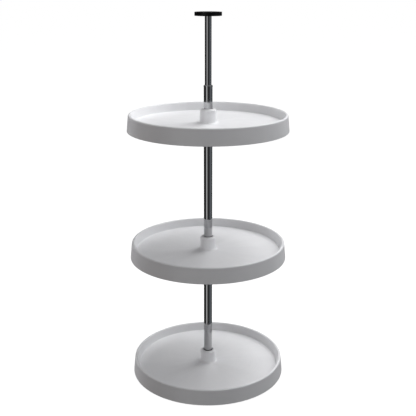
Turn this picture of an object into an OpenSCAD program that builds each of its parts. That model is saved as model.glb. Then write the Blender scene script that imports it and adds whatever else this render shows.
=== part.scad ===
// Three-tier rotating carousel for a tall pantry cabinet.
// Three moulded trays turn, each by itself, on one fixed post. The post is a tube with a rod that
// slides out of it, so that the fitting reaches from the floor of the cabinet to its ceiling.
// Millimetres. Z is up, the post is the Z axis, and z = 0 is the floor of the cabinet.

/* [Layout] */
// Gap from the cabinet's floor to the bottom tray's skirt
floor_clearance = 9.75; // [6:0.25:40]
// Rim of the bottom tray to rim of the middle tray
lower_spacing = 376.2; // [200:0.1:600]
// Rim of the middle tray to rim of the top tray
upper_spacing = 383.2; // [200:0.1:600]
// Rim of the top tray to the top of the lower tube's ferrule
tube_rise = 80.2; // [50:0.1:200]
// Length of rod that shows between the ferrule and the top bracket
rod_reach = 189.5; // [40:0.5:240]

/* [Tray] */
// Diameter over the rim of a tray
rim_d = 457.2; // [360:0.1:700]
// Height of the tray from rim to lower edge of the skirt
skirt_h = 47.25; // [40:0.25:70]
// How far the skirt flares out below the rim, on the radius
skirt_flare = 4.4; // [0:0.1:8]
// Depth of the tray from rim to floor
tray_depth = 25.3; // [15:0.1:30]
// How far the edge of the floor lies inside the rim, on the radius
floor_inset = 14.1; // [12:0.1:30]
// Thickness of the skirt and of the inner wall
wall_t = 2.6; // [1.8:0.1:3.5]
// Thickness of the floor
floor_t = 2.6; // [1.8:0.1:4]
// Radius of the rounded bead along the rim
bead_r = 4.6; // [4:0.1:6]
// Fillet between the floor and the inner wall
floor_fillet_r = 2.5; // [1:0.5:8]

/* [Tray ribs] */
// Number of long ribs under the floor
rib_count = 12; // [6:1:18]
// Thickness of every rib and web
rib_t = 2; // [1.2:0.1:3]
// Depth of the long ribs at the rim
rib_rim_h = 3.6; // [2:0.1:6]
// Radius of the inner ring rib under the floor
inner_ring_r = 82; // [60:1:110]
// Radius of the outer ring rib under the floor
outer_ring_r = 148; // [115:1:165]
// Depth of the ring ribs
ring_rib_h = 4; // [2:0.1:6]
// How far the rim webs stop short of the skirt's lower edge
web_edge_gap = 9; // [3:0.5:15]

/* [Tray hub] */
// Height of the hub above the tray's floor
hub_h = 39.5; // [30:0.5:60]
// How much wider the hub is at the floor than at its top, on the radius
hub_draft = 0.6; // [0.2:0.1:5]
// Radius of the cove where the hub grows out of the floor
hub_cove_r = 6; // [2:0.5:14]
// Chamfer along the hub's top edge
hub_chamfer = 3.8; // [1:0.1:5]
// Each of the hub's two walls
hub_wall_t = 2.4; // [1.6:0.1:3.5]
// Width of the hollow between the hub's walls, at its top
hub_hollow_w = 3.4; // [1:0.1:6]
// Web that closes the hub's hollow at the top
hub_web_t = 4.5; // [2:0.1:6]
// How far the hub stands out below the floor's underside
hub_drop = 6.1; // [3:0.1:12]
// Webs in the hub's hollow
hub_web_count = 6; // [3:1:9]
// Depth of the open mouth above the upper bush
mouth_depth = 8; // [3:0.5:14]
// Shoulder that each bush seats against, on the radius
bush_shoulder = 1; // [0.5:0.1:2]

/* [Post] */
// Outside diameter of the lower tube
tube_d = 25; // [24.6:0.1:28]
// Wall of the lower tube
tube_wall = 1.2; // [0.8:0.1:1.4]
// Outside diameter of the upper rod
rod_d = 19; // [15:0.1:19.6]
// Wall of the upper rod
rod_wall = 1.2; // [0.8:0.1:2]
// How far the rod can still be drawn out before its guide meets the ferrule
rod_travel_up = 75; // [20:1:120]
// Height of the ferrule's lip on top of the tube
lip_h = 4.5; // [3:0.1:10]
// How far the ferrule's lip stands out past the tube
lip_stand = 0.5; // [0.2:0.1:2]
// Length of the ferrule's spigot inside the tube
spigot_h = 30; // [22:1:60]
// Height of the slide guide below the rod's end
guide_h = 12; // [9:0.5:30]
// Height of each of the two lands on which the guide slides
guide_land_h = 3; // [1.5:0.1:3.6]
// Length of the guide's and the plug's stub inside the rod
rod_stub_h = 15; // [8:0.5:30]
// Thickness of the plug's head on the rod's upper end
plug_head_h = 1.5; // [1:0.1:3]
// Length of the plug in the tube's lower end
tube_plug_h = 25; // [20:1:50]

/* [Bearings] */
// Length of each bush in a hub
bush_h = 12; // [6:0.5:14]
// Wall of the bushes, from the tube to the hub
bush_wall = 2.5; // [2:0.1:6]
// Width of the lower bush's flange
flange_w = 6; // [3:0.1:8]
// Thickness of the lower bush's flange
flange_t = 2; // [1.2:0.1:3]
// Thickness of the thrust washers
washer_t = 2; // [1:0.1:3]
// Height of the support collars
collar_h = 12; // [9:0.5:20]
// Wall of the support collars
collar_wall = 9.5; // [8.6:0.1:14]
// Width of the slit in a support collar
collar_slit = 2; // [1:0.1:3]

/* [Brackets] */
// Diameter of the floor bracket
floor_bracket_d = 95; // [88:1:160]
// Thickness of the floor bracket's plate
floor_plate_t = 4; // [3.6:0.1:6]
// Thickness of the floor of its socket
socket_floor_t = 6; // [5:0.1:7]
// Wall of its socket
socket_wall = 4; // [3:0.1:6]
// Pitch circle of the floor bracket's screw holes
floor_hole_pcd = 72; // [64:1:78]
// Diameter of the floor bracket's screw holes
floor_hole_d = 5; // [4:0.1:6]
// Diameter of the top bracket
top_bracket_d = 76; // [70:0.5:120]
// Height of the top bracket
top_bracket_h = 10.3; // [9:0.1:16]
// Thickness of the top bracket's plate
top_plate_t = 3.5; // [3:0.1:5]
// Width of its rim
top_rim_t = 3; // [2:0.1:5]
// Wall of its socket
top_socket_wall = 3.5; // [2.5:0.1:5]
// Pitch circle of the top bracket's screw holes
top_hole_pcd = 54; // [46:1:56]
// Diameter of the top bracket's screw holes
top_hole_d = 4.5; // [4:0.1:5]
// Wall of its screw bosses
top_boss_wall = 2.2; // [1.6:0.1:2.6]
// Screw holes in each bracket
hole_count = 4; // [3:1:4]
// Stiffening ribs in each bracket, for each of its screw holes
ribs_per_hole = 2; // [1:1:2]

/* [Screws] */
// Thread diameter of the floor bracket's centre screw
centre_screw_d = 6; // [5:0.5:8]
// Length of the centre screw's thread inside the plug
centre_screw_grip = 16; // [10:1:18]
// Thread diameter of the collars' clamp screws
clamp_screw_d = 4; // [3:0.5:4]
// Diameter of the clamp screws' heads
clamp_head_d = 7; // [6:0.1:7]
// Height of the clamp screws' heads
clamp_head_h = 4; // [3:0.1:5]
// Distance from a clamp screw's middle to the seat of its head
clamp_seat = 5; // [3:0.1:6]
// Thread diameter of the set screw that locks the rod
lock_screw_d = 5; // [4:0.5:6]
// How far the set screw stands out of the tube
lock_screw_stand = 2.4; // [1:0.1:6]
// Height of the set screw's axis below the top of the spigot
lock_screw_drop = 9; // [5:0.5:14]

/* [Fits] */
// Running clearance of bushes, guide, ferrule and socket, on the radius
running_gap = 0.05; // [0.03:0.01:0.09]
// Clearance of washers round the tube, on the radius
loose_gap = 0.4; // [0.2:0.05:0.8]
// Clearance of a screw through its hole, on the radius
screw_gap = 0.3; // [0.2:0.05:0.5]
// Break of sharp edges on turned and moulded pieces
edge_break = 0.6; // [0.2:0.1:0.8]

/* [Hidden] */
$fn = 96;
ARC_STEP = 12; // degrees from point to point along a rounded corner
BITE = 0.8; // how far ribs reach into the walls that carry them
CUT = 1; // how far a cutter runs past the face that it opens
HEX_SIDES = 6;
HEX_SHARE = 0.5; // radius of a hexagon socket, as a share of the radius of its screw or head
SOCKET_SHARE = 0.6; // depth of a hexagon socket, as a share of the height of its head
SINK_SHARE = 0.9; // depth of a wood screw's countersink, as a share of the radius of its hole

tube_r = tube_d / 2;
tube_bore_r = tube_r - tube_wall;
rod_r = rod_d / 2;
rod_bore_r = rod_r - rod_wall;
bush_r = tube_r + bush_wall;
flange_r = bush_r + flange_w;
collar_r = tube_r + collar_wall;
hollow_r = bush_r + hub_wall_t;
hub_top_r = hollow_r + hub_hollow_w + hub_wall_t;
hub_r = hub_top_r + hub_draft;
bracket_rib_count = ribs_per_hole * hole_count;

// Heights within a tray, counted from its rim
floor_z = -tray_depth;
under_z = floor_z - floor_t;
hub_foot_z = under_z - hub_drop;
hub_top_z = floor_z + hub_h;

// Heights in the whole fitting
bottom_rim_z = floor_clearance + skirt_h;
middle_rim_z = bottom_rim_z + lower_spacing;
top_rim_z = middle_rim_z + upper_spacing;
ferrule_top_z = top_rim_z + tube_rise;
tube_top_z = ferrule_top_z - lip_h;
spigot_foot_z = tube_top_z - spigot_h;
bracket_foot_z = ferrule_top_z + rod_reach;
bracket_top_z = bracket_foot_z + top_bracket_h;
socket_roof_z = bracket_top_z - top_plate_t;
rod_top_z = socket_roof_z - plug_head_h;
rod_foot_z = spigot_foot_z - rod_travel_up;
lock_screw_z = tube_top_z - lock_screw_drop;
screw_sink = edge_break / 2; // depth of the centre screw's head in the floor bracket's underside
washer_drop = flange_t + washer_t;
floor_boss_h = bottom_rim_z + hub_foot_z - washer_drop;

// The tray's walls are straight lines, tangent to the bead along the rim
bead = [rim_d / 2 - bead_r, -bead_r];
floor_corner = [rim_d / 2 - floor_inset, floor_z];
skirt_foot = [rim_d / 2 + skirt_flare, -skirt_h];
inner_a = tangent_angle(floor_corner, bead, bead_r, 1);
skirt_a = tangent_angle(skirt_foot, bead, bead_r, -1);
inner_wall_x = wall_t / sin(inner_a);
skirt_wall_x = wall_t / sin(skirt_a);

// Angle of the line from point p that touches a circle on its left side (1) or its right side (-1)
function tangent_angle(p, centre, r, side) =
    let (v = centre - p) atan2(v[1], v[0]) + side * asin(r / norm(v));

// Points along an arc, from angle a to angle b
function arc(centre, r, a, b) =
    let (n = max(2, ceil(abs(b - a) / ARC_STEP)))
    [for (i = [0:n]) centre + r * [cos(a + (b - a) * i / n), sin(a + (b - a) * i / n)]];

// Radius of the inner wall's back and of the skirt's inside, at a height below the rim
function inner_back_x(z) = floor_corner[0] + inner_wall_x + (z - floor_z) / tan(inner_a);
function skirt_inside_x(z) = skirt_foot[0] - skirt_wall_x + (z + skirt_h) / tan(skirt_a);

// Copies its child evenly round the post
module around(count, start = 0) {
    for (i = [0:count - 1]) rotate(start + i * 360 / count) children();
}

// Stands an upright plate on a drawn outline, in which x is the radius and y the height
module radial_plate(points, thickness) {
    rotate([90, 0, 0]) linear_extrude(height = thickness, center = true) polygon(points);
}

// A turned ring whose upper and lower outer edges are broken
module broken_ring(outer_r, inner_r, height, edge) {
    rotate_extrude() polygon([
        [inner_r, 0], [outer_r - edge, 0], [outer_r, edge],
        [outer_r, height - edge], [outer_r - edge, height], [inner_r, height]
    ]);
}

// ---------------------------------------------------------------- trays

// Half section of a tray: stepped bore, hub with its hollow, cove, floor, inner wall, bead and skirt
function tray_section() = let (
    waist_r = bush_r - bush_shoulder,
    fillet_x = floor_corner[0] - floor_fillet_r * tan(inner_a / 2)
) concat(
    [
        [bush_r, hub_foot_z],
        [bush_r, hub_foot_z + bush_h],
        [waist_r, hub_foot_z + bush_h],
        [waist_r, hub_top_z - mouth_depth - bush_h],
        [bush_r, hub_top_z - mouth_depth - bush_h],
        [bush_r, hub_top_z - edge_break],
        [bush_r + edge_break, hub_top_z],
        [hub_top_r - hub_chamfer, hub_top_z],
        [hub_top_r, hub_top_z - hub_chamfer]
    ],
    arc([hub_r + hub_cove_r, floor_z + hub_cove_r], hub_cove_r, 180, 270),
    arc([fillet_x, floor_z + floor_fillet_r], floor_fillet_r, 270, 270 + inner_a),
    arc(bead, bead_r, inner_a + 90, skirt_a - 90),
    [skirt_foot, [skirt_inside_x(-skirt_h), -skirt_h]],
    arc(bead, bead_r - wall_t, skirt_a - 90, inner_a + 90),
    [
        [inner_back_x(under_z), under_z],
        [hub_r, under_z],
        [hub_r, hub_foot_z],
        [hub_r - hub_wall_t, hub_foot_z],
        [hub_top_r - hub_wall_t, hub_top_z - hub_web_t],
        [hollow_r, hub_top_z - hub_web_t],
        [hollow_r, hub_foot_z]
    ]
);

// Outline of a web in the hollow rim, from the inner wall across to the skirt
function rim_web_outline() = let (
    roof_z = BITE - wall_t,
    edge_z = -skirt_h + web_edge_gap
) [
    [inner_back_x(under_z) - BITE, under_z + BITE],
    [inner_back_x(roof_z) - BITE, roof_z],
    [skirt_inside_x(roof_z) + BITE, roof_z],
    [skirt_inside_x(edge_z) + BITE, edge_z],
    [inner_back_x(under_z) - BITE, under_z - rib_rim_h]
];

// Outline of a long rib under the floor, which grows shallower from the hub to the rim
function floor_rib_outline() = [
    [hub_r - BITE, hub_foot_z],
    [hub_r - BITE, under_z + BITE],
    [inner_back_x(under_z) - BITE / 2, under_z + BITE],
    [inner_back_x(under_z) - BITE / 2, under_z - rib_rim_h]
];

module ring_rib(r) {
    rotate_extrude() translate([r - rib_t / 2, under_z - ring_rib_h])
        square([rib_t, ring_rib_h + BITE]);
}

// Web between the two walls of the hub
module hub_web() {
    from_r = hollow_r - BITE;
    radial_plate([
        [from_r, under_z], [hub_r - BITE, under_z],
        [hub_top_r - BITE, hub_top_z - hub_web_t + BITE], [from_r, hub_top_z - hub_web_t + BITE]
    ], rib_t);
}

module tray(rim_z) {
    color("white") translate([0, 0, rim_z]) union() {
        rotate_extrude() polygon(tray_section());
        around(rib_count) radial_plate(floor_rib_outline(), rib_t);
        around(2 * rib_count) radial_plate(rim_web_outline(), rib_t);
        for (r = [inner_ring_r, outer_ring_r]) ring_rib(r);
        around(hub_web_count, 180 / hub_web_count) hub_web();
    }
}

// ---------------------------------------------------------------- bearings

module upper_bush(rim_z) {
    color("dimgray") translate([0, 0, rim_z + hub_top_z - mouth_depth - bush_h])
        broken_ring(bush_r, tube_r + running_gap, bush_h, edge_break / 2);
}

module lower_bush(rim_z) {
    color("dimgray") translate([0, 0, rim_z + hub_foot_z]) rotate_extrude() polygon([
        [tube_r + running_gap, -flange_t], [flange_r - edge_break, -flange_t],
        [flange_r, edge_break - flange_t], [flange_r, 0], [bush_r, 0],
        [bush_r, bush_h - edge_break], [bush_r - edge_break, bush_h],
        [tube_r + running_gap, bush_h]
    ]);
}

module thrust_washer(rim_z) {
    color("gainsboro") translate([0, 0, rim_z + hub_foot_z - washer_drop])
        broken_ring(flange_r, tube_r + loose_gap, washer_t, edge_break / 2);
}

// Places its child at the middle of a support collar's clamp screw, with the screw along X
module at_clamp_screw(rim_z) {
    translate([0, (tube_r + collar_r) / 2, rim_z + hub_foot_z - washer_drop - collar_h / 2])
        children();
}

module support_collar(rim_z) {
    color("silver") difference() {
        translate([0, 0, rim_z + hub_foot_z - washer_drop - collar_h])
            broken_ring(collar_r, tube_r, collar_h, edge_break);
        at_clamp_screw(rim_z) {
            cube([collar_slit, collar_r, collar_h + 2 * CUT], center = true);
            rotate([0, -90, 0]) cylinder(h = collar_r, r = clamp_screw_d / 2);
            rotate([0, 90, 0]) cylinder(h = collar_r, r = clamp_screw_d / 2 + screw_gap);
            translate([clamp_seat, 0, 0]) rotate([0, 90, 0])
                cylinder(h = collar_r, r = clamp_head_d / 2 + screw_gap);
        }
    }
}

module clamp_screw(rim_z) {
    shank_h = 2 * clamp_seat + collar_slit;
    socket_h = clamp_head_h * SOCKET_SHARE;
    color("dimgray") at_clamp_screw(rim_z) translate([clamp_seat, 0, 0]) rotate([0, 90, 0])
        difference() {
            union() {
                cylinder(h = clamp_head_h, r = clamp_head_d / 2);
                translate([0, 0, -shank_h]) cylinder(h = shank_h, r = clamp_screw_d / 2);
            }
            translate([0, 0, clamp_head_h - socket_h])
                cylinder(h = socket_h + CUT, r = clamp_head_d / 2 * HEX_SHARE, $fn = HEX_SIDES);
        }
}

// ---------------------------------------------------------------- post

module lower_tube() {
    color("lightgray") difference() {
        translate([0, 0, socket_floor_t]) cylinder(h = tube_top_z - socket_floor_t, r = tube_r);
        translate([0, 0, socket_floor_t - CUT])
            cylinder(h = tube_top_z - socket_floor_t + 2 * CUT, r = tube_bore_r);
        lock_screw_hole();
    }
}

module lock_screw_hole() {
    translate([0, 0, lock_screw_z]) rotate([-90, 0, 0]) cylinder(h = tube_d, r = lock_screw_d / 2);
}

module tube_ferrule() {
    lip_r = tube_r + lip_stand;
    bore_r = rod_r + running_gap;
    color("lightgray") difference() {
        rotate_extrude() polygon([
            [bore_r, spigot_foot_z + edge_break], [bore_r + edge_break, spigot_foot_z],
            [tube_bore_r - edge_break, spigot_foot_z], [tube_bore_r, spigot_foot_z + edge_break],
            [tube_bore_r, tube_top_z], [lip_r, tube_top_z], [lip_r, ferrule_top_z - 2 * edge_break],
            [lip_r - 2 * edge_break, ferrule_top_z],
            [bore_r + edge_break, ferrule_top_z], [bore_r, ferrule_top_z - edge_break]
        ]);
        lock_screw_hole();
    }
}

// Set screw with a hexagon socket. Its flat tip bears on the rod.
module lock_screw() {
    tip_y = rod_r + 2 * running_gap;
    end_y = tube_r + lock_screw_stand;
    color("dimgray") translate([0, 0, lock_screw_z]) rotate([-90, 0, 0]) difference() {
        translate([0, 0, tip_y]) cylinder(h = end_y - tip_y, r = lock_screw_d / 2);
        translate([0, 0, tube_r])
            cylinder(h = lock_screw_stand + CUT, r = lock_screw_d / 2 * HEX_SHARE, $fn = HEX_SIDES);
    }
}

module tube_end_plug() {
    color("dimgray") translate([0, 0, socket_floor_t]) difference() {
        broken_ring(tube_bore_r, 0, tube_plug_h, edge_break);
        translate([0, 0, -CUT])
            cylinder(h = centre_screw_grip + 2 * CUT, r = centre_screw_d / 2);
    }
}

// Countersunk screw up through the floor bracket into the plug
module bracket_screw() {
    head_h = centre_screw_d / 2;
    color("silver") translate([0, 0, screw_sink]) difference() {
        countersunk_screw(centre_screw_d / 2, socket_floor_t + centre_screw_grip - screw_sink);
        translate([0, 0, -CUT])
            cylinder(h = head_h * SOCKET_SHARE + CUT, r = centre_screw_d * HEX_SHARE, $fn = HEX_SIDES);
    }
}

// Head and shank of a countersunk screw that points up, also the cutter for its hole
module countersunk_screw(r, length) {
    rotate_extrude() polygon([[0, 0], [2 * r, 0], [r, r], [r, length], [0, length]]);
}

// ---------------------------------------------------------------- rod

module upper_rod() {
    color("lightgray") difference() {
        translate([0, 0, rod_foot_z]) cylinder(h = rod_top_z - rod_foot_z, r = rod_r);
        translate([0, 0, rod_foot_z - CUT])
            cylinder(h = rod_top_z - rod_foot_z + 2 * CUT, r = rod_bore_r);
    }
}

// Guide on the rod's lower end. Two lands run in the tube, with a relief between them.
module rod_guide() {
    land_r = tube_bore_r - running_gap;
    relief_r = land_r - edge_break;
    color("whitesmoke") translate([0, 0, rod_foot_z - guide_h]) rotate_extrude() polygon([
        [0, 0], [land_r - edge_break, 0], [land_r, edge_break], [land_r, guide_land_h],
        [relief_r, guide_land_h + edge_break], [relief_r, guide_h - guide_land_h - edge_break],
        [land_r, guide_h - guide_land_h], [land_r, guide_h], [rod_bore_r, guide_h],
        [rod_bore_r, guide_h + rod_stub_h - edge_break],
        [rod_bore_r - edge_break, guide_h + rod_stub_h], [0, guide_h + rod_stub_h]
    ]);
}

module rod_end_plug() {
    color("dimgray") translate([0, 0, rod_top_z - rod_stub_h]) rotate_extrude() polygon([
        [0, 0], [rod_bore_r - edge_break, 0], [rod_bore_r, edge_break], [rod_bore_r, rod_stub_h],
        [rod_r - edge_break / 2, rod_stub_h],
        [rod_r - edge_break / 2, rod_stub_h + plug_head_h], [0, rod_stub_h + plug_head_h]
    ]);
}

// ---------------------------------------------------------------- brackets

// Moulded disc with a socket for the tube. The socket's top carries the bottom tray.
module floor_bracket() {
    disc_r = floor_bracket_d / 2;
    socket_r = tube_r + socket_wall;
    foot_r = socket_r + 2 * edge_break;
    rib_end_r = disc_r - 2 * edge_break;
    color("dimgray") difference() {
        union() {
            rotate_extrude() polygon(concat(
                [[0, 0], [disc_r - edge_break, 0], [disc_r, edge_break]],
                arc([disc_r - 2 * edge_break, floor_plate_t - 2 * edge_break], 2 * edge_break, 0, 90),
                [
                    [foot_r + edge_break, floor_plate_t], [foot_r, floor_plate_t + edge_break],
                    [socket_r, floor_boss_h - edge_break], [socket_r - edge_break, floor_boss_h],
                    [tube_r, floor_boss_h], [tube_r, socket_floor_t], [0, socket_floor_t]
                ]
            ));
            around(bracket_rib_count, 180 / bracket_rib_count) radial_plate([
                [socket_r - BITE, floor_plate_t - BITE], [rib_end_r, floor_plate_t - BITE],
                [rib_end_r, floor_plate_t], [socket_r - BITE, floor_boss_h - 2 * edge_break]
            ], rib_t);
        }
        translate([0, 0, screw_sink])
            countersunk_screw(centre_screw_d / 2, socket_floor_t + CUT);
        translate([0, 0, -CUT]) cylinder(h = screw_sink + CUT, r = centre_screw_d);
        around(hole_count) translate([floor_hole_pcd / 2, 0, floor_plate_t])
            screw_hole(floor_hole_d / 2, floor_plate_t);
    }
}

// Depth of the countersink of a wood screw's hole, cut at 45 degrees
function sink_h(r) = SINK_SHARE * r;

// Cutter for a wood screw's hole, down from its countersunk mouth
module screw_hole(r, depth) {
    translate([0, 0, -depth - CUT]) cylinder(h = depth + 2 * CUT, r = r);
    translate([0, 0, -sink_h(r)]) cylinder(h = sink_h(r) + CUT, r1 = r, r2 = r + sink_h(r) + CUT);
}

// Moulded cup, open below, with a blind socket in which the rod's end turns
module top_bracket() {
    disc_r = top_bracket_d / 2;
    bore_r = rod_r + running_gap;
    socket_r = bore_r + top_socket_wall;
    boss_r = top_hole_d / 2 + sink_h(top_hole_d / 2) + top_boss_wall;
    color("black") translate([0, 0, bracket_foot_z]) difference() {
        union() {
            rotate_extrude() polygon(concat(
                [
                    [bore_r + edge_break, 0], [socket_r, 0],
                    [socket_r, top_bracket_h - top_plate_t],
                    [disc_r - top_rim_t, top_bracket_h - top_plate_t], [disc_r - top_rim_t, 0]
                ],
                arc([disc_r - edge_break, edge_break], edge_break, 270, 360),
                arc([disc_r - edge_break, top_bracket_h - edge_break], edge_break, 0, 90),
                [
                    [0, top_bracket_h], [0, top_bracket_h - top_plate_t],
                    [bore_r, top_bracket_h - top_plate_t], [bore_r, edge_break]
                ]
            ));
            around(bracket_rib_count, 180 / bracket_rib_count) radial_plate([
                [socket_r - BITE, edge_break], [disc_r - top_rim_t + BITE, edge_break],
                [disc_r - top_rim_t + BITE, top_bracket_h - BITE], [socket_r - BITE, top_bracket_h - BITE]
            ], rib_t);
            around(hole_count) translate([top_hole_pcd / 2, 0, 0])
                cylinder(h = top_bracket_h - BITE, r = boss_r);
        }
        around(hole_count) translate([top_hole_pcd / 2, 0, 0]) mirror([0, 0, 1])
            screw_hole(top_hole_d / 2, top_bracket_h);
    }
}

floor_bracket();
bracket_screw();
tube_end_plug();
lower_tube();
tube_ferrule();
lock_screw();
support_collar(middle_rim_z);  // middle_support_collar
clamp_screw(middle_rim_z);  // middle_collar_screw
support_collar(top_rim_z);  // top_support_collar
clamp_screw(top_rim_z);  // top_collar_screw
thrust_washer(bottom_rim_z);  // bottom_thrust_washer
thrust_washer(middle_rim_z);  // middle_thrust_washer
thrust_washer(top_rim_z);  // top_thrust_washer
upper_rod();
rod_guide();
rod_end_plug();
top_bracket();
tray(bottom_rim_z);  // bottom_tray
upper_bush(bottom_rim_z);  // bottom_upper_bush
lower_bush(bottom_rim_z);  // bottom_lower_bush
tray(middle_rim_z);  // middle_tray
upper_bush(middle_rim_z);  // middle_upper_bush
lower_bush(middle_rim_z);  // middle_lower_bush
tray(top_rim_z);  // top_tray
upper_bush(top_rim_z);  // top_upper_bush
lower_bush(top_rim_z);  // top_lower_bush
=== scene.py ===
"""Dresses a rotating pantry carousel: three moulded trays that turn on a chrome telescoping post.

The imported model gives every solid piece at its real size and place. This script models the moulded trays
and the turned screws again with their roundings, threads and knurls, gives every piece its finish, and
sets up a studio with the photograph's camera. Lengths are in metres, Z is up, and the post is the Z axis.
"""

import logging
import math
from dataclasses import dataclass
from enum import Enum
from typing import Callable, Iterator, Sequence

import bpy
from mathutils import Matrix, Vector


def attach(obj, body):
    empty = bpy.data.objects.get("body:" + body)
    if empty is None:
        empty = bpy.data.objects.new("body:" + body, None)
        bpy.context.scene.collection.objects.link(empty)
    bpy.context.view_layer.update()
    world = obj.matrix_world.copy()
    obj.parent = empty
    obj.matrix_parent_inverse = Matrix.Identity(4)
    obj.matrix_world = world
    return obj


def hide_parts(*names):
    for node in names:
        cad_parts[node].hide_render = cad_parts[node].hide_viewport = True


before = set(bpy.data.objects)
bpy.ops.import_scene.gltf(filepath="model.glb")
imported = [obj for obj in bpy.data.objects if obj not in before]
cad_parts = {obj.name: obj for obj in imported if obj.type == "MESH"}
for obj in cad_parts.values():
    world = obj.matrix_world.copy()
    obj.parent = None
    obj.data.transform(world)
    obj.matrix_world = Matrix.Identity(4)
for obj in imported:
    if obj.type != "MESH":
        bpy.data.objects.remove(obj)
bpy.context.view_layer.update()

LOG = logging.getLogger("carousel")
MM = 0.001
TURN = 2.0 * math.pi
ORIGIN = (0.0, 0.0, 0.0)
UP = (0.0, 0.0, 1.0)
WHITE = (1.0, 1.0, 1.0)
POST_BODY = "post"

Colour = tuple[float, float, float]
Place = tuple[float, float, float]
Socket = bpy.types.NodeSocket
Piece = bpy.types.Object
Test = Callable[[Vector, Vector], bool]


class Tier(Enum):
    """The three levels of the carousel, by the word that starts their nodes' names."""

    BOTTOM = "bottom"
    MIDDLE = "middle"
    TOP = "top"


class Slot(Enum):
    """The record's material slots."""

    WHITE_POLYMER = "white_polymer"
    CHROME = "chrome"
    BLACK_NYLON = "black_nylon"
    GREY_ACETAL = "grey_acetal"
    NATURAL_ACETAL = "natural_acetal"
    ZINC_STEEL = "zinc_steel"
    BLACK_STEEL = "black_steel"


class Pick(Enum):
    """What a selection on the bench is made of."""

    POINTS = "VERT"
    FACES = "FACE"


class Head(Enum):
    """The kinds of screw head."""

    SOCKET_CAP = "cap with a hexagon socket"
    COUNTERSUNK = "countersunk with a hexagon socket"
    NONE = "set screw with a hexagon socket"


# ---------------------------------------------------------------- finishes


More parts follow.
